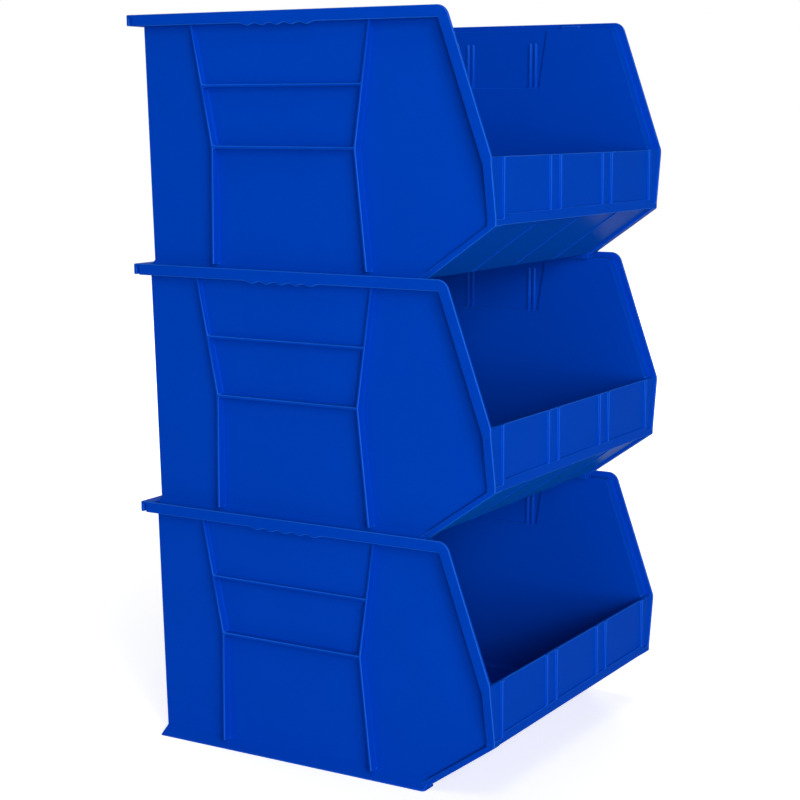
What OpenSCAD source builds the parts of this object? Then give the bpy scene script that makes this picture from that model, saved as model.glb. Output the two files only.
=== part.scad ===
// Stack of three hopper-front storage bins, each one a single plastic moulding.
// Millimetres, +Z up, the open front faces -Y, origin under the middle of the stack.

/* [Bin] */
// Length from the front face to the outside of the hanging lip
bin_length = 457; // [430:1:500]
// Width across the outside of the rims
bin_width = 419; // [390:1:460]
// Height from the feet to the top of the rim
bin_height = 279; // [262:1:310]
// Thickness of the walls, floor and front
wall = 3.2; // [2.6:0.1:4]
// How far each wall leans in from the ledge down to the floor
draft = 3.5; // [1:0.1:5]

/* [Rim] */
// Distance from the side wall to the outer face of the rim, at the ledge
rim_reach = 12.5; // [11:0.1:15]
// Thickness of the upstanding rim
rim_t = 3; // [2:0.1:4]
// Depth of the stacking ledge below the top of the rim
ledge_depth = 7; // [5:0.1:9]
// Thickness of the stacking ledge
ledge_t = 3; // [2:0.1:4]
// Thickness of the web that follows the ledge down the slanted edge
web_t = 2.2; // [1.6:0.1:3.2]
// Distance from the back of the web to the inner edge of the rim's slanted face
web_inset = 1; // [0.6:0.1:2]
// Radius of the bend between the ledge and that web
mouth_r = 6; // [3:0.5:8]
// Height of the rim's outer face along the sides
band_top = 12.5; // [10.5:0.1:15]
// Width of the rim's outer face down the slanted edge
band_slant = 12.2; // [10:0.1:14]
// Width of the rim's outer face down the front edge
band_front = 10.2; // [8:0.1:13]
// Radius of the rim's top front corner
rim_corner_r = 14; // [6:0.5:18]
// Radius of the bend between the slanted and the front edge
bend_r = 12; // [4:0.5:20]

/* [Hanging lip] */
// Distance from the rear wall to the outside of the lip, at the ledge
lip_reach = 14.5; // [13:0.1:18]
// Thickness of the lip
lip_t = 4; // [3:0.1:5]
// Drop of the lip from the top of the rim
lip_h = 12; // [8:0.1:14]
// Gap between the lip's ends and the side rims
lip_gap = 3; // [2:0.1:4]
// Thickness of the shelf that carries the lip
lip_shelf = 3; // [2.5:0.1:4]

/* [Hopper front] */
// Height of the front wall's top edge
front_top = 130.5; // [115:0.5:150]
// Height of the front wall's bottom edge
toe_z = 62; // [50:1:75]
// How far the rim's front corner lies behind the front face
mouth_setback = 52.5; // [40:0.5:65]
// How far the sloped underside's lower end lies behind the front face
heel_setback = 81; // [70:0.5:95]
// How far each lower front corner is drawn in from the rim's outer face
front_taper = 10; // [4:0.5:11]
// Width of the flange along the edge of the sloped underside
slope_band = 6.5; // [4:0.1:8]
// How far that flange hangs below the sloped underside
slope_drop = 3; // [1.5:0.1:4]
// Height of the ribs under the slope
slope_rib_h = 1.2; // [0.8:0.1:1.4]
// Thickness of the ribs under the slope
slope_rib_t = 4; // [2.5:0.1:6]
// Spacing of the ribs under the slope
slope_rib_pitch = 96; // [60:1:110]

/* [Label frames] */
// Width of one label panel
label_w = 98.5; // [70:0.5:104]
// Spacing of the three label panels
label_pitch = 127; // [118:0.5:130]
// Width of the lips beside each panel
label_lip_w = 5; // [3:0.1:7]
// Height of the strip under the panels
label_foot_h = 11; // [7:0.5:16]
// How far the lips and the strip stand proud of the front wall
label_proud = 2.5; // [1.5:0.1:3.5]

/* [Side ribs] */
// Thickness of the side ribs
rib_t = 2.8; // [2:0.1:4]
// Height of the upper cross rib
cross_hi = 202; // [185:1:215]
// Height of the lower cross rib
cross_lo = 137; // [120:1:150]
// Place of the rear rib at the rim, along the length
rear_rib_top = 145; // [130:0.5:155]
// Place of the rear rib at the lower cross rib
rear_rib_mid = 119; // [100:0.5:128]
// Place of the rear rib at the foot
rear_rib_foot = 121; // [100:0.5:130]
// Place of the front rib at the rim
front_rib_top = -84; // [-100:0.5:-76]
// Place of the front rib at the lower cross rib
front_rib_mid = -64.5; // [-80:0.5:-56]
// Place of the front rib at the foot
front_rib_foot = -77.5; // [-94:0.5:-66]
// How far the upright ribs run down over the flare of the foot
rib_drop = 3; // [2:0.5:8]

/* [Finger grip] */
// Number of teeth under the side rim
grip_teeth = 5; // [3:1:7]
// Spacing of the teeth
grip_pitch = 19; // [16:0.5:24]
// Height of the teeth
grip_depth = 2.5; // [2:0.1:5]
// Distance from the rim's lower edge to the hollows between the teeth
grip_web = 0.4; // [0.2:0.1:1]
// Place of the middle tooth along the length
grip_mid = 28; // [10:1:45]

/* [Feet] */
// Height of the feet under the floor
foot_h = 5; // [3.5:0.1:7]
// Width of each foot
foot_w = 20; // [16:0.5:28]
// How far the feet reach behind the rear wall
foot_tail = 2; // [1:0.1:3]
// Gap between the feet and the rim they nest in
foot_gap = 1.5; // [0.8:0.1:2.5]
// Height at which the foot's flare meets the wall
flare_top = 13; // [11:0.5:18]
// Height of the foot's upright outer edge
flare_edge = 1.2; // [0.8:0.1:2]
// Distance from the front face back to the feet
foot_setback = 83; // [70:0.5:90]
// Radius of the feet's front corners
foot_r = 4; // [2:0.5:5]

/* [Locking lugs] */
// Length of the lug on each ledge
lug_l = 23; // [12:0.5:30]
// Width of the lug
lug_w = 4.5; // [3:0.1:5]
// Height of the lug
lug_h = 4.2; // [2:0.1:4.6]
// Distance from the wall's inner face to the lug
lug_inset = 0.5; // [0.3:0.1:1]
// Place of the lug's middle along the length
lug_y = -114; // [-125:1:-60]
// Play of the lug in the pocket of the foot above
lug_play = 1; // [0.6:0.1:1.2]

/* [Divider slots] */
// How far the upper panel of each side wall is set outwards
panel_step = 2.5; // [1.5:0.1:3.5]
// Thickness of that upper panel
panel_wall = 2.7; // [2.2:0.1:3.2]
// Number of divider slots in each side wall
slot_count = 3; // [1:1:3]
// Spacing of the divider slots
slot_pitch = 87; // [60:1:90]
// Place of the middle slot along the length
slot_mid = 24; // [14:1:34]
// Width of one divider slot
slot_w = 3.8; // [2.5:0.1:5]
// Thickness of the ribs beside a slot
slot_rib_t = 3.2; // [1.5:0.1:4]
// How far those ribs stand out from the upper panel
slot_rib_h = 2.4; // [1:0.1:4]
// Distance from the rim down to the top of the slots
slot_drop = 23; // [18:1:35]

/* [Hidden] */
bin_blue = [0.0, 0.22, 0.67];
arc_steps = 8;
tooth_steps = 12;
overlap = 1;
beyond = 60;
front_y = -bin_length / 2;
lip_y = bin_length / 2;
rim_x = bin_width / 2;
ledge_z = bin_height - ledge_depth;
web_back = band_slant - web_inset;
web_front = web_back - web_t;
face_y = front_y + label_proud;
wall_x = rim_x - rim_reach;
rear_y = lip_y - lip_reach;
foot_x = rim_x - rim_t - foot_gap;
foot_y = front_y + foot_setback;
foot_end_y = rear_y - draft + foot_tail;
stop_y = foot_end_y + foot_gap;
toe_x = rim_x - front_taper;
taper_z = front_top - bend_r / 2;
taper_end_z = toe_z + slope_band;
rib_top_z = ledge_z - overlap;
lean_rate = draft / (ledge_z - foot_h);

// Points of the rim seen from the side: rear, top corner, bend, toe and heel
rim_rear = [lip_y, bin_height];
rim_corner = [front_y + mouth_setback, bin_height];
bend = [front_y, front_top];
toe = [front_y, toe_z];
heel = [front_y + heel_setback, foot_h];

function lean(z) = lean_rate * (ledge_z - z);
function half_width(z) = wall_x - lean(z);
function rear_at(z) = rear_y - lean(z);

// Places of the upright side ribs at height z, above the lower cross rib
function rib_share(z) = (z - cross_lo) / (rib_top_z - cross_lo);
function front_rib_at(z) = front_rib_mid + (front_rib_top - front_rib_mid) * rib_share(z);
function rear_rib_at(z) = rear_rib_mid + (rear_rib_top - rear_rib_mid) * rib_share(z);

// Line from a to b moved by d to its left, as two points
function moved(a, b, d) =
    let (u = (b - a) / norm(b - a), n = [-u[1], u[0]])
    [a + d * n, b + d * n];

// Crossing of two lines, each given by two points
function crossing(p, q) =
    let (u = p[1] - p[0], v = q[1] - q[0], w = q[0] - p[0])
    p[0] + u * ((w[0] * v[1] - w[1] * v[0]) / (u[0] * v[1] - u[1] * v[0]));

function level(z) = [[0, z], [1, z]];
function upright(y) = [[y, 0], [y, 1]];

// Arc of radius r that rounds the corner at b between a and c
function rounded(a, b, c, r) =
    let (u = (a - b) / norm(a - b), v = (c - b) / norm(c - b),
         half = acos(u * v) / 2, reach = r / tan(half),
         mid = b + (u + v) / norm(u + v) * (r / sin(half)),
         from = b + u * reach - mid, to = b + v * reach - mid)
    [for (i = [0 : arc_steps])
        let (k = i / arc_steps, s = from * (1 - k) + to * k)
        mid + s / norm(s) * r];

// Slanted edge and sloped edge, moved into the side panel by d
function slant(d) = moved(rim_corner, bend, d);
function slope(d) = moved(toe, heel, d);

// Front of the web, from the front wall up into the bend to the ledge
function mouth_edge() =
    let (low = crossing(slant(web_front), level(front_top)),
         high = crossing(slant(web_front), level(ledge_z)))
    concat([low], rounded(low, high, [rear_y, ledge_z], mouth_r));

// Solid with an outline in the side view, drawn between two places across the width
module across(from, to, outline) {
    translate([from, 0, 0]) rotate([90, 0, 90]) linear_extrude(to - from) polygon(outline);
}

// Solid with an outline in the front view, drawn between two places along the length
module along(from, to, outline) {
    translate([0, to, 0]) rotate([90, 0, 0]) linear_extrude(to - from) polygon(outline);
}

module both_sides() {
    children();
    mirror([1, 0, 0]) children();
}

// Everything between the leaning side walls, drawn in from their outer faces by d
module between_walls(d) {
    low = -beyond;
    high = bin_height + beyond;
    along(-bin_length, bin_length, [
        [-half_width(low) + d, low], [half_width(low) - d, low],
        [half_width(high) - d, high], [-half_width(high) + d, high]]);
}

// Outer form of the tub: floor, rear wall, side walls, slope and front wall
module tub() {
    intersection() {
        across(-bin_width, bin_width, concat(
            [[rear_at(ledge_z), ledge_z], [rear_at(foot_h), foot_h],
             crossing(slope(slope_drop), level(foot_h)),
             crossing(slope(slope_drop), upright(face_y)),
             [face_y, front_top]],
            mouth_edge()));
        between_walls(0);
    }
}

// The space inside the tub, open at the top and out through the mouth
module cavity() {
    high = bin_height + beyond;
    floor_z = foot_h + wall;
    inner_slope = slope(slope_drop + wall);
    intersection() {
        across(-bin_width, bin_width, [
            [rear_at(high) - wall, high], [rear_at(floor_z) - wall, floor_z],
            crossing(inner_slope, level(floor_z)),
            crossing(inner_slope, upright(face_y + wall)),
            [face_y + wall, front_top],
            [front_y - beyond, front_top], [front_y - beyond, high]]);
        between_walls(wall);
    }
}

// Stacking ledge at the top, and the web that follows it down the slanted edge to the front wall
module ledge() {
    inner_x = rim_x - rim_t / 2;
    across(-inner_x, inner_x, concat(
        [[stop_y + rim_t, ledge_z], [stop_y + rim_t, ledge_z - ledge_t],
         crossing(slant(web_back), level(ledge_z - ledge_t)),
         crossing(slant(web_back), level(front_top - ledge_t)),
         [face_y, front_top - ledge_t], [face_y, front_top]],
        mouth_edge()));
}

// Upstanding rim along one side, down the slanted edge to the toe
module side_rim() {
    inner_top = bin_height - band_top;
    inner_front = upright(front_y + band_front);
    low_z = toe_z - beyond;
    inner_corner = crossing(slant(band_slant), level(inner_top));
    inner_bend = crossing(slant(band_slant), inner_front);
    lip_z = bin_height - lip_h;
    gap_y = lip_y - lip_t - lip_gap;
    intersection() {
        across(0, rim_x, concat(
            [[lip_y, lip_z], rim_rear],
            rounded(rim_rear, rim_corner, bend, rim_corner_r),
            rounded(rim_corner, bend, toe, bend_r),
            [toe, crossing(slope(slope_band / 2), inner_front), inner_bend, inner_corner],
            [[gap_y, inner_top], [gap_y, bin_height - lip_shelf],
             [lip_y - lip_t, bin_height - lip_shelf], [lip_y - lip_t, lip_z]]));
        along(front_y - overlap, lip_y + overlap, [
            [rim_x - rim_t, bin_height], [rim_x, bin_height], [rim_x, taper_z],
            [toe_x, taper_end_z], [toe_x, low_z], [toe_x - rim_t, low_z],
            [toe_x - rim_t, taper_end_z], [rim_x - rim_t, taper_z]]);
    }
}

// Stop behind the ledge, and the lip that hangs from it for hooking the bin on a rail
module hanging_lip() {
    shelf_z = bin_height - lip_shelf;
    stop_x = rim_x - rim_t / 2;
    across(-stop_x, stop_x, [
        [stop_y, ledge_z - ledge_t], [stop_y, bin_height],
        [stop_y + rim_t, bin_height], [stop_y + rim_t, ledge_z - ledge_t]]);
    across(-rim_x, rim_x, [
        [stop_y, shelf_z], [stop_y, bin_height], rim_rear, [lip_y, bin_height - lip_h],
        [lip_y - lip_t, bin_height - lip_h], [lip_y - lip_t, shelf_z]]);
}

// Row of rounded teeth under the middle of one side rim, as a wave
module finger_grip() {
    top_z = bin_height - band_top;
    length = grip_teeth * grip_pitch;
    start = grip_mid - length / 2;
    steps = grip_teeth * tooth_steps;
    across(rim_x - rim_t, rim_x, concat(
        [[start + length, top_z], [start + length, top_z + overlap],
         [start, top_z + overlap], [start, top_z]],
        [for (i = [1 : steps - 1])
            let (rise = (1 - cos(360 * i / tooth_steps)) / 2)
            [start + length * i / steps, top_z - grip_web - grip_depth * rise]]));
}

// Outer corner of the front wall, which reaches from rim to rim
module front_plate() {
    rim_in = rim_t / 2;
    along(face_y, face_y + wall, [
        [-rim_x + rim_in, front_top], [rim_x - rim_in, front_top], [rim_x - rim_in, taper_z],
        [toe_x - rim_in, taper_end_z], [toe_x - rim_in, toe_z],
        [-toe_x + rim_in, toe_z], [-toe_x + rim_in, taper_end_z], [-rim_x + rim_in, taper_z]]);
}

// Lips beside the three label panels, the strip under them and the flange along the bottom edge
module label_frames() {
    outer = label_pitch + label_w / 2 + label_lip_w;
    depth = label_proud + overlap;
    for (i = [-1 : 1], side = [-1, 1])
        translate([i * label_pitch + side * (label_w + label_lip_w) / 2 - label_lip_w / 2, front_y, toe_z])
            cube([label_lip_w, depth, front_top - toe_z]);
    translate([-outer, front_y, toe_z]) cube([2 * outer, depth, label_foot_h]);
    translate([-toe_x, front_y, toe_z]) cube([2 * toe_x, depth, slope_band]);
}

// Flange along one edge of the sloped underside
module slope_flange() {
    across(toe_x - rim_reach, toe_x, [
        toe, heel, crossing(slope(slope_band), level(foot_h)),
        crossing(slope(slope_band), upright(face_y + wall)), [front_y, toe_z + slope_band]]);
}

// Ribs that run fore and aft under the slope
module slope_ribs() {
    low = slope(slope_drop - slope_rib_h);
    high = slope(slope_drop + overlap);
    for (i = [-1 : 1])
        across(i * slope_rib_pitch - slope_rib_t / 2, i * slope_rib_pitch + slope_rib_t / 2, [
            crossing(low, upright(face_y)), crossing(low, level(foot_h)),
            crossing(high, level(foot_h)), crossing(high, upright(face_y))]);
}

// One upright side rib through a list of points in the side view
module upright_rib(points) {
    half = [rib_t / 2, 0];
    last = len(points) - 1;
    across(half_width(0) - overlap, foot_x, concat(
        [for (p = points) p + half],
        [for (i = [last : -1 : 0]) points[i] - half]));
}

// Two upright ribs and two cross ribs on the outside of one side wall
module side_ribs() {
    foot_end = flare_top - rib_drop;
    upright_rib([[rear_rib_top, rib_top_z], [rear_rib_mid, cross_lo], [rear_rib_foot, foot_end]]);
    upright_rib([[front_rib_top, rib_top_z], [front_rib_mid, cross_lo], [front_rib_foot, foot_end]]);
    cross_rib(front_rib_at(cross_hi), rear_rib_at(cross_hi), cross_hi);
    cross_rib(front_rib_mid, rear_rib_mid, cross_lo);
}

module cross_rib(from, to, z) {
    low_x = half_width(0) - overlap;
    translate([low_x, from, z - rib_t / 2]) cube([foot_x - low_x, to - from, rib_t]);
}

// Foot along one side, flared out from the side wall and the rear wall, set back from the front
module foot() {
    inner_x = foot_x - foot_w;
    join_x = half_width(flare_top) - overlap;
    join_y = rear_at(flare_top) - overlap;
    plan = [[inner_x, foot_end_y], [foot_x, foot_end_y], [foot_x, foot_y], [inner_x, foot_y]];
    intersection() {
        along(foot_y, foot_end_y, [
            [inner_x, 0], [foot_x, 0], [foot_x, flare_edge],
            [join_x, flare_top], [join_x - wall / 2, flare_top], [inner_x, foot_h + wall / 2]]);
        across(inner_x, foot_x, [
            [foot_y, 0], [foot_end_y, 0], [foot_end_y, flare_edge],
            [join_y, flare_top], [foot_y, flare_top]]);
        linear_extrude(flare_top) polygon(concat(
            [plan[3], plan[0], plan[1]], rounded(plan[1], plan[2], plan[3], foot_r)));
    }
}

// Lug on one ledge that keeps the bin above from sliding
module lug(play) {
    size = [lug_w + 2 * play, lug_l + 2 * play, lug_h + play + overlap];
    translate([wall_x - wall + lug_inset - play, lug_y - size[1] / 2, -overlap]) cube(size);
}

// Outline of the upper side panel, drawn in from the upright ribs by d
function panel(d, low, high) = [
    [front_rib_at(high) + d, high], [front_rib_at(low) + d, low],
    [rear_rib_at(low) - d, low], [rear_rib_at(high) - d, high]];

// Outer face of the upper panel of one side wall
module panel_face() {
    intersection() {
        across(half_width(0), rim_x, panel(0, cross_hi, ledge_z - overlap));
        between_walls(-panel_step);
    }
}

// Hollow behind it in the inner face of the side wall, open at the ledge
module panel_hollow() {
    intersection() {
        across(0, rim_x, panel(wall / 2, cross_hi + rib_t / 2, ledge_z + overlap));
        between_walls(panel_wall - panel_step);
    }
}

// Pairs of ribs in that hollow which hold a divider
module divider_slots() {
    gap = (slot_w + slot_rib_t) / 2;
    first = slot_mid - (slot_count - 1) / 2 * slot_pitch;
    height = bin_height - slot_drop - cross_hi;
    difference() {
        intersection() {
            for (i = [0 : slot_count - 1], side = [-1, 1])
                translate([0, first + i * slot_pitch + side * gap - slot_rib_t / 2, cross_hi - overlap])
                    cube([rim_x, slot_rib_t, height + overlap]);
            between_walls(panel_wall - panel_step - overlap / 2);
        }
        between_walls(panel_wall - panel_step + slot_rib_h);
    }
}

// One whole bin, standing on its feet at height z
module bin(z) {
    translate([0, 0, z]) {
        difference() {
            union() {
                difference() {
                    union() {
                        tub();
                        ledge();
                        front_plate();
                        both_sides() {
                            slope_flange();
                            side_ribs();
                            panel_face();
                            foot();
                        }
                    }
                    cavity();
                }
                both_sides() {
                    side_rim();
                    finger_grip();
                    translate([0, 0, ledge_z]) lug(0);
                }
                hanging_lip();
                label_frames();
                slope_ribs();
            }
            both_sides() {
                panel_hollow();
                lug(lug_play);
            }
        }
        both_sides() divider_slots();
    }
}

module bottom_bin() {
    color(bin_blue) bin(0);
}

module middle_bin() {
    color(bin_blue) bin(ledge_z);
}

module top_bin() {
    color(bin_blue) bin(2 * ledge_z);
}

bottom_bin();
middle_bin();
top_bin();
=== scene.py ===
import math

import bmesh
import bpy
from mathutils import Matrix, Vector
from mathutils.geometry import delaunay_2d_cdt


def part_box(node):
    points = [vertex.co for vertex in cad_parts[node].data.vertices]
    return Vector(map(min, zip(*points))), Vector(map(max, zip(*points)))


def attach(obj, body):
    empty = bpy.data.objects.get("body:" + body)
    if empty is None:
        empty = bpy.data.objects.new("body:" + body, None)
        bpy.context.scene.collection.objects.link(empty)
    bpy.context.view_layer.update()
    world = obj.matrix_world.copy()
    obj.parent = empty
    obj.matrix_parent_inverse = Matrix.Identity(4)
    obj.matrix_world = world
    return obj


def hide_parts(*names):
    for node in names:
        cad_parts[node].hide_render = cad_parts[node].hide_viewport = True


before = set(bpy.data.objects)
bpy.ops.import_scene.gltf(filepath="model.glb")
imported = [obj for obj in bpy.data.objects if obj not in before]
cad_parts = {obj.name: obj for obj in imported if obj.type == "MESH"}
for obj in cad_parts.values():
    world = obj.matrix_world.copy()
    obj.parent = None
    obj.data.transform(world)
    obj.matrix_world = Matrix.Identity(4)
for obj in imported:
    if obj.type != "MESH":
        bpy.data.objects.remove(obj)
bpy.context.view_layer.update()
mm = 0.001

# Camera of the photograph, solved from the corners of the bins

photoCamera = {
    "imagePixels": 800,
    "focalPixels": 1768.66,
    "middlePixel": (465.17, 408.04),
    "place": (-1.7479, -1.0739, 0.7149),
    "yawDegrees": 60.371,  # from +Y towards +X
    "pitchDegrees": 9.404,  # downwards
    "sensor": 36.0,
}


def addCamera(setup):
    data = bpy.data.cameras.new("photoCamera")
    pixels = setup["imagePixels"]
    data.sensor_width = setup["sensor"]
    data.lens = setup["focalPixels"] / pixels * setup["sensor"]
    data.shift_x = (pixels / 2 - setup["middlePixel"][0]) / pixels
    data.shift_y = (setup["middlePixel"][1] - pixels / 2) / pixels
    camera = bpy.data.objects.new("photoCamera", data)
    camera.location = setup["place"]
    tilt = math.radians(90 - setup["pitchDegrees"])
    camera.rotation_euler = (tilt, 0, -math.radians(setup["yawDegrees"]))
    bpy.context.scene.collection.objects.link(camera)
    bpy.context.scene.camera = camera


addCamera(photoCamera)
print("camera set")

# Blue moulded polypropylene

binPlastic = {
    "color": (0.0, 0.05, 0.48),
    "deepColor": (0.0, 0.045, 0.44),
    "paintedHighlightColor": (0.01, 0.1, 0.58),  # painted highlight: paler along the rounded edges, standing in for the light they catch
    "roughness": (0.3, 0.42),
    "specular": 0.003,
    "ior": 1.49,
    "sheen": 0.06,
    "sheenColor": (0.0, 0.55, 0.8),
    "sheenRoughness": 0.45,
    "cloudSize": 0.09,
    "cloudDetail": 4,
    "grainSize": 0.0009,
    "grainDetail": 2,
    "grainHeight": 0.03 * mm,
}


def makePlastic(setup):
    material = bpy.data.materials.new("bluePolypropylene")
    material.use_nodes = True
    nodes = material.node_tree.nodes
    link = material.node_tree.links.new
    shader = nodes["Principled BSDF"]
    shader.inputs["Specular IOR Level"].default_value = setup["specular"]
    shader.inputs["IOR"].default_value = setup["ior"]
    shader.inputs["Sheen Weight"].default_value = setup["sheen"]
    shader.inputs["Sheen Tint"].default_value = (*setup["sheenColor"], 1)
    shader.inputs["Sheen Roughness"].default_value = setup["sheenRoughness"]

    place = nodes.new("ShaderNodeTexCoord")
    cloud = nodes.new("ShaderNodeTexNoise")
    cloud.inputs["Scale"].default_value = 1 / setup["cloudSize"]
    cloud.inputs["Detail"].default_value = setup["cloudDetail"]
    link(place.outputs["Object"], cloud.inputs["Vector"])

    tint = nodes.new("ShaderNodeMix")
    tint.data_type = "RGBA"
    tint.inputs["A"].default_value = (*setup["deepColor"], 1)
    tint.inputs["B"].default_value = (*setup["color"], 1)
    link(cloud.outputs["Fac"], tint.inputs["Factor"])

    # Painted highlight: the base colour turns paler on the outside roundings, standing in for
    # light caught there
    paintedHighlight = nodes.new("ShaderNodeAttribute")
    paintedHighlight.attribute_name = "paintedEdgeHighlight"
    paintedHighlightMix = nodes.new("ShaderNodeMix")
    paintedHighlightMix.data_type = "RGBA"
    paintedHighlightMix.inputs["B"].default_value = (*setup["paintedHighlightColor"], 1)
    link(paintedHighlight.outputs["Fac"], paintedHighlightMix.inputs["Factor"])
    link(tint.outputs["Result"], paintedHighlightMix.inputs["A"])
    link(paintedHighlightMix.outputs["Result"], shader.inputs["Base Color"])

    grain = nodes.new("ShaderNodeTexNoise")
    grain.inputs["Scale"].default_value = 1 / setup["grainSize"]
    grain.inputs["Detail"].default_value = setup["grainDetail"]
    link(place.outputs["Object"], grain.inputs["Vector"])

    gloss = nodes.new("ShaderNodeMapRange")
    gloss.inputs["To Min"].default_value = setup["roughness"][0]
    gloss.inputs["To Max"].default_value = setup["roughness"][1]
    link(cloud.outputs["Fac"], gloss.inputs["Value"])
    link(gloss.outputs["Result"], shader.inputs["Roughness"])

    bump = nodes.new("ShaderNodeBump")
    bump.inputs["Distance"].default_value = setup["grainHeight"]
    link(grain.outputs["Fac"], bump.inputs["Height"])
    link(bump.outputs["Normal"], shader.inputs["Normal"])
    return material


plastic = makePlastic(binPlastic)
print("plastic made")

# The bins: the solid's flat panels get a narrow border,
# so that their edges can be rounded as a mould leaves them

softEdges = {
    "outsideRadius": 1.2 * mm,
    "insideRadius": 1.2 * mm,
    "cornerRadius": 6.0 * mm,  # along the tub's long inner corners
    "cornerLength": 60 * mm,
    "outsideRoom": 0.45,  # most of the narrowest gap beside an edge that its border may take
    "insideRoom": 0.3,
    "cornerRoom": 0.2,
    "roundedShare": 0.85,  # part of the border that the rounding takes up
    "steps": 3,
    "sharpDegrees": 24,
    "flatDegrees": 0.6,
    "straightTurn": 0.02,  # sine of the turn below which an outline runs straight on
    "shortestBorder": 0.05,  # least part of an edge that its border keeps
    "narrowing": 0.75,  # each time a border folds over
    "weld": 0.002 * mm,
    "fillMargin": 1e-6,  # in millimetres
}


def readSolid(nodeName, setup):
    solid = bmesh.new()
    solid.from_mesh(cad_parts[nodeName].data)
    bmesh.ops.remove_doubles(solid, verts=solid.verts, dist=setup["weld"])
    solid.normal_update()
    return solid


def flatPanels(solid, setup):
    limit = math.radians(setup["flatDegrees"])
    panelOf = {}
    panels = []
    for seed in solid.faces:
        if seed in panelOf:
            continue
        panel = {"faces": []}
        panels.append(panel)
        panelOf[seed] = panel
        waiting = [seed]
        while waiting:
            face = waiting.pop()
            panel["faces"].append(face)
            for edge in face.edges:
                for other in edge.link_faces:
                    if other not in panelOf and edge.calc_face_angle(math.pi) < limit:
                        panelOf[other] = panel
                        waiting.append(other)
    for panel in panels:
        normals = (face.normal * face.calc_area() for face in panel["faces"])
        panel["normal"] = sum(normals, Vector()).normalized()
        panel["outlines"] = readOutlines(panel, panelOf)
    return panels


# Each outline is a list of corners, with the edge that leaves each corner
def readOutlines(panel, panelOf):
    leaving = {}
    for face in panel["faces"]:
        for corner in face.loops:
            beside = [other for other in corner.edge.link_faces if other is not face]
            if beside and panelOf[beside[0]] is panel:
                continue
            following = corner.link_loop_next.vert
            leaving.setdefault(corner.vert, []).append((following, corner.edge))
    outlines = []
    while leaving:
        vert = next(iter(leaving))
        outline = []
        while vert in leaving:
            following, edge = leaving[vert].pop(0)
            if not leaving[vert]:
                del leaving[vert]
            outline.append((vert, edge))
            vert = following
        outlines.append(outline)
    return outlines


def gapBetween(first, second):
    a, b = (vert.co for vert in first.verts)
    c, d = (vert.co for vert in second.verts)
    gaps = []
    for point, start, end in ((a, c, d), (b, c, d), (c, a, b), (d, a, b)):
        along = end - start
        share = (point - start).dot(along) / along.length_squared
        gaps.append((point - start - along * max(0, min(1, share))).length)
    return min(gaps)


def borderWidths(panels, setup):
    widths = {}
    for panel in panels:
        panel["runs"] = []
        for outline in panel["outlines"]:
            panel["runs"] += smoothRuns(outline, setup)
        for run in panel["runs"]:
            beside = [edge for other in panel["runs"] if other is not run for edge in other]
            for edge in run:
                kind = edgeKind(edge, setup)
                apart = [other for other in beside if not set(other.verts) & set(edge.verts)]
                gaps = (gapBetween(edge, other) for other in apart)
                room = min(gaps, default=1) * setup[kind + "Room"]
                widest = setup[kind + "Radius"] / setup["roundedShare"]
                widths[edge] = min(widths.get(edge, widest), room)
    return widths


def edgeKind(edge, setup):
    if edge.is_convex or not isSharp(edge, setup):
        return "outside"
    return "corner" if edge.calc_length() > setup["cornerLength"] else "inside"


# Stretches of an outline that bend smoothly, as lists of edges
def smoothRuns(outline, setup):
    runs = []
    for i, (vert, edge) in enumerate(outline):
        before = vert.co - outline[i - 1][0].co
        after = outline[(i + 1) % len(outline)][0].co - vert.co
        turns = before.angle(after) > math.radians(setup["sharpDegrees"])
        if turns or not runs:
            runs.append([])
        if i == 0:
            joined = not turns
        runs[-1].append(edge)
    if joined and len(runs) > 1:
        runs[0] += runs.pop()
    return runs


def evenRuns(panels, widths):
    uneven = True
    while uneven:
        uneven = False
        for run in (run for panel in panels for run in panel["runs"]):
            least = min(widths[edge] for edge in run)
            for edge in run:
                uneven = uneven or widths[edge] > least
                widths[edge] = least


def isSharp(edge, setup):
    return edge.calc_face_angle(math.pi) > math.radians(setup["sharpDegrees"])


def innerCorners(panel, outline, widths, setup):
    points = []
    normal = panel["normal"]
    for i, (vert, edgeAfter) in enumerate(outline):
        vertBefore, edgeBefore = outline[i - 1]
        vertAfter = outline[(i + 1) % len(outline)][0]
        before = (vert.co - vertBefore.co).normalized()
        after = (vertAfter.co - vert.co).normalized()
        inBefore = normal.cross(before)
        inAfter = normal.cross(after)
        if abs(before.cross(after).dot(normal)) < setup["straightTurn"]:
            middle = (widths[edgeBefore] + widths[edgeAfter]) / 2
            points.append(vert.co + (inBefore + inAfter).normalized() * middle)
        else:
            reach = widths[edgeAfter] - widths[edgeBefore] * inBefore.dot(inAfter)
            reach /= before.dot(inAfter)
            points.append(vert.co + before * reach + inBefore * widths[edgeBefore])
    return points


# Narrows the borders until none of them folds over
def settleBorders(panels, widths, setup):
    folded = {None}
    while folded:
        folded = set()
        evenRuns(panels, widths)
        for panel in panels:
            panel["inner"] = [
                innerCorners(panel, outline, widths, setup) for outline in panel["outlines"]
            ]
            for outline, points in zip(panel["outlines"], panel["inner"]):
                for i, (vert, edge) in enumerate(outline):
                    j = (i + 1) % len(outline)
                    whole = outline[j][0].co - vert.co
                    least = setup["shortestBorder"] * whole.length_squared
                    if whole.dot(points[j] - points[i]) < least:
                        folded.update((outline[i - 1][1], edge, outline[j][1]))
        for edge in folded:
            widths[edge] *= setup["narrowing"]


def isInside(point, outlines):
    inside = False
    for outline in outlines:
        for a, b in zip(outline, outline[1:] + outline[:1]):
            if (a.y > point.y) != (b.y > point.y):
                if a.x + (point.y - a.y) / (b.y - a.y) * (b.x - a.x) > point.x:
                    inside = not inside
    return inside


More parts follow.
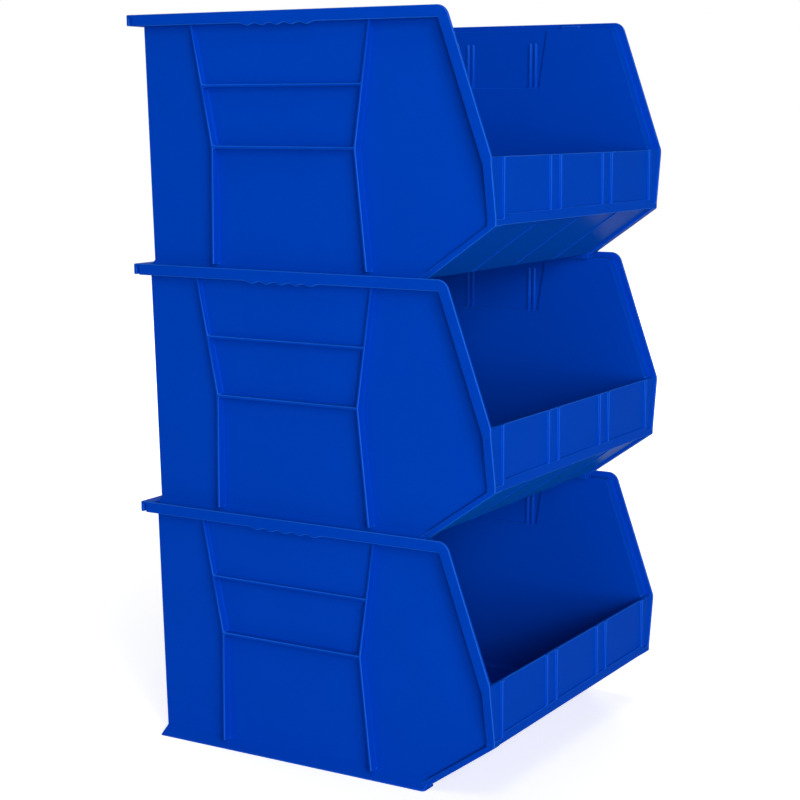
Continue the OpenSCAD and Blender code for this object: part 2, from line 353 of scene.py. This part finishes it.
def fillPanel(moulding, panel, cornerOf, setup):
    right = panel["normal"].orthogonal().normalized()
    up = panel["normal"].cross(right)
    verts, flat, rims, flatOutlines = [], [], [], []
    for outline, points in zip(panel["outlines"], panel["inner"]):
        ring = [moulding.verts.new(point) for point in points]
        for i in range(len(ring)):
            j = (i + 1) % len(ring)
            here, there = cornerOf[outline[i][0]], cornerOf[outline[j][0]]
            moulding.faces.new((here, there, ring[j], ring[i]))
            rims.append((len(verts) + i, len(verts) + j))
        flatOutlines.append([Vector((point.dot(right), point.dot(up))) / mm for point in points])
        flat += flatOutlines[-1]
        verts += ring
    places, _, pieces, sources, *_ = delaunay_2d_cdt(flat, rims, [], 1, setup["fillMargin"])
    for piece in pieces:
        middle = sum((places[k] for k in piece), Vector((0, 0))) / len(piece)
        if isInside(middle, flatOutlines):
            moulding.faces.new([verts[sources[k][0]] for k in piece])


def mouldBin(nodeName, material, setup):
    solid = readSolid(nodeName, setup)
    panels = flatPanels(solid, setup)
    widths = borderWidths(panels, setup)
    settleBorders(panels, widths, setup)
    moulding = bmesh.new()
    weights = moulding.edges.layers.float.new("bevel_weight_edge")
    cornerOf = {vert: moulding.verts.new(vert.co) for vert in solid.verts}
    for panel in panels:
        fillPanel(moulding, panel, cornerOf, setup)
    widest = max(widths.values())
    for edge, width in widths.items():
        if isSharp(edge, setup):
            ends = [cornerOf[vert] for vert in edge.verts]
            moulding.edges.get(ends)[weights] = width / widest
    for face in moulding.faces:
        face.smooth = True
    mesh = bpy.data.meshes.new("panelMoulding")
    moulding.to_mesh(mesh)
    moulding.free()
    solid.free()
    mesh = roundEdges(mesh, material, widest * setup["roundedShare"], setup)
    # paints a highlight along the outside roundings
    markPaintedHighlight(mesh)
    return mesh


# The second slot marks the faces of the roundings, until the painted highlight is read from it
def roundEdges(mesh, material, radius, setup):
    for slot in range(2):
        mesh.materials.append(material)
    sharp = bpy.data.objects.new("panelMoulding", mesh)
    bpy.context.scene.collection.objects.link(sharp)
    bevel = sharp.modifiers.new("softEdges", "BEVEL")
    bevel.limit_method = "WEIGHT"
    bevel.width = radius
    bevel.segments = setup["steps"]
    bevel.use_clamp_overlap = False
    bevel.material = 1
    ready = sharp.evaluated_get(bpy.context.evaluated_depsgraph_get())
    rounded = bpy.data.meshes.new_from_object(ready)
    bpy.data.objects.remove(sharp)
    bpy.data.meshes.remove(mesh)
    return rounded


# Painted highlight along the middle of each outside rounding, standing in for light caught there
def markPaintedHighlight(mesh):
    moulding = bmesh.new()
    moulding.from_mesh(mesh)
    paintedHighlight = moulding.verts.layers.float.new("paintedEdgeHighlight")
    for vert in moulding.verts:
        turn = sum(edge.calc_face_angle_signed(0) for edge in vert.link_edges)
        if turn > 0 and all(face.material_index for face in vert.link_faces):
            vert[paintedHighlight] = 1
    for face in moulding.faces:
        face.material_index = 0
    moulding.to_mesh(mesh)
    moulding.free()
    mesh.materials.pop()


def placeBin(name, mesh, rise):
    mesh = mesh.copy()
    mesh.transform(Matrix.Translation((0, 0, rise)))
    piece = bpy.data.objects.new(name + "_moulding", mesh)
    bpy.context.scene.collection.objects.link(piece)
    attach(piece, name)
    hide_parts(name)


binMesh = mouldBin("bottom_bin", plastic, softEdges)
print("moulded one bin,", len(binMesh.polygons), "faces")
for binName in ("bottom_bin", "middle_bin", "top_bin"):
    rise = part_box(binName)[0][2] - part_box("bottom_bin")[0][2]
    placeBin(binName, binMesh, rise)
    print("placed", binName)

# White floor and soft studio light

studio = {
    "floorWidth": 16.0,
    "floorColor": (0.88, 0.88, 0.88),
    "floorRoughness": 0.9,
    # beside the bins and far away, only as seen by the camera and in reflections
    "floorGlow": (0.6, 1.0),
    "glowReach": (0.8, 2.5),  # from the middle of the floor
    "skyColor": (1.0, 1.0, 1.0),
    "skyLight": 0.03,
    "aim": (0.0, 0.0, 0.4),
    "lamps": (
        # name, degrees round from the front to the left, degrees up, distance, width, watts
        ("frontBox", 36, 22, 6.0, 1.8, 157),
        ("sideBox", 52, 5, 6.0, 1.8, 171),
        ("topBox", 60, 62, 5.4, 2.2, 46),
        ("backBox", 192, 22, 5.0, 1.8, 80),
        ("rightBox", 258, 20, 5.0, 1.8, 60),
    ),
}


def addLamp(setup, name, turn, rise, distance, width, watts):
    data = bpy.data.lights.new(name, "AREA")
    data.size = width
    data.energy = watts
    turn = math.radians(turn)
    rise = math.radians(rise)
    level = math.cos(rise)
    toLamp = Vector((-math.sin(turn) * level, -math.cos(turn) * level, math.sin(rise)))
    lamp = bpy.data.objects.new(name, data)
    lamp.location = Vector(setup["aim"]) + toLamp * distance
    lamp.rotation_euler = toLamp.to_track_quat("Z", "Y").to_euler()
    bpy.context.scene.collection.objects.link(lamp)


# Brightness for rays that only light, and full white, or what is linked to To Max,
# for rays that show the surroundings
def seenOrLit(tree, lit):
    rays = tree.nodes.new("ShaderNodeLightPath")
    sight = rays.outputs["Is Camera Ray"]
    for other in ("Is Glossy Ray", "Is Transmission Ray"):
        either = tree.nodes.new("ShaderNodeMath")
        either.operation = "MAXIMUM"
        tree.links.new(sight, either.inputs[0])
        tree.links.new(rays.outputs[other], either.inputs[1])
        sight = either.outputs["Value"]
    brightness = tree.nodes.new("ShaderNodeMapRange")
    brightness.inputs["To Min"].default_value = lit
    tree.links.new(sight, brightness.inputs["Value"])
    return brightness


# Weaker beside the bins, so that their shadow shows, and full white where the floor meets the sky
def fadingGlow(tree, setup):
    place = tree.nodes.new("ShaderNodeTexCoord")
    away = tree.nodes.new("ShaderNodeVectorMath")
    away.operation = "LENGTH"
    tree.links.new(place.outputs["Object"], away.inputs[0])
    glow = tree.nodes.new("ShaderNodeMapRange")
    for end, values in (("From", setup["glowReach"]), ("To", setup["floorGlow"])):
        glow.inputs[end + " Min"].default_value = values[0]
        glow.inputs[end + " Max"].default_value = values[1]
    tree.links.new(away.outputs["Value"], glow.inputs["Value"])
    return glow.outputs["Result"]


def addFloor(setup):
    half = setup["floorWidth"] / 2
    mesh = bpy.data.meshes.new("paleFloor")
    corners = [(-half, -half, 0), (half, -half, 0), (half, half, 0), (-half, half, 0)]
    mesh.from_pydata(corners, [], [(0, 1, 2, 3)])
    floor = bpy.data.objects.new("paleFloor", mesh)
    bpy.context.scene.collection.objects.link(floor)
    material = bpy.data.materials.new("paleFloor")
    material.use_nodes = True
    tree = material.node_tree
    shader = tree.nodes["Principled BSDF"]
    shader.inputs["Base Color"].default_value = (*setup["floorColor"], 1)
    shader.inputs["Roughness"].default_value = setup["floorRoughness"]
    shader.inputs["Specular IOR Level"].default_value = 0.0
    shader.inputs["Emission Color"].default_value = (1, 1, 1, 1)
    brightness = seenOrLit(tree, 0.0)
    tree.links.new(fadingGlow(tree, setup), brightness.inputs["To Max"])
    tree.links.new(brightness.outputs["Result"], shader.inputs["Emission Strength"])
    mesh.materials.append(material)


def lightSky(setup):
    world = bpy.data.worlds.new("studioSky")
    bpy.context.scene.world = world
    world.use_nodes = True
    tree = world.node_tree
    sky = tree.nodes["Background"]
    sky.inputs["Color"].default_value = (*setup["skyColor"], 1)
    brightness = seenOrLit(tree, setup["skyLight"])
    tree.links.new(brightness.outputs["Result"], sky.inputs["Strength"])


addFloor(studio)
lightSky(studio)
for lampSetup in studio["lamps"]:
    addLamp(studio, *lampSetup)
bpy.context.scene.view_settings.view_transform = "Standard"
print("studio lit")
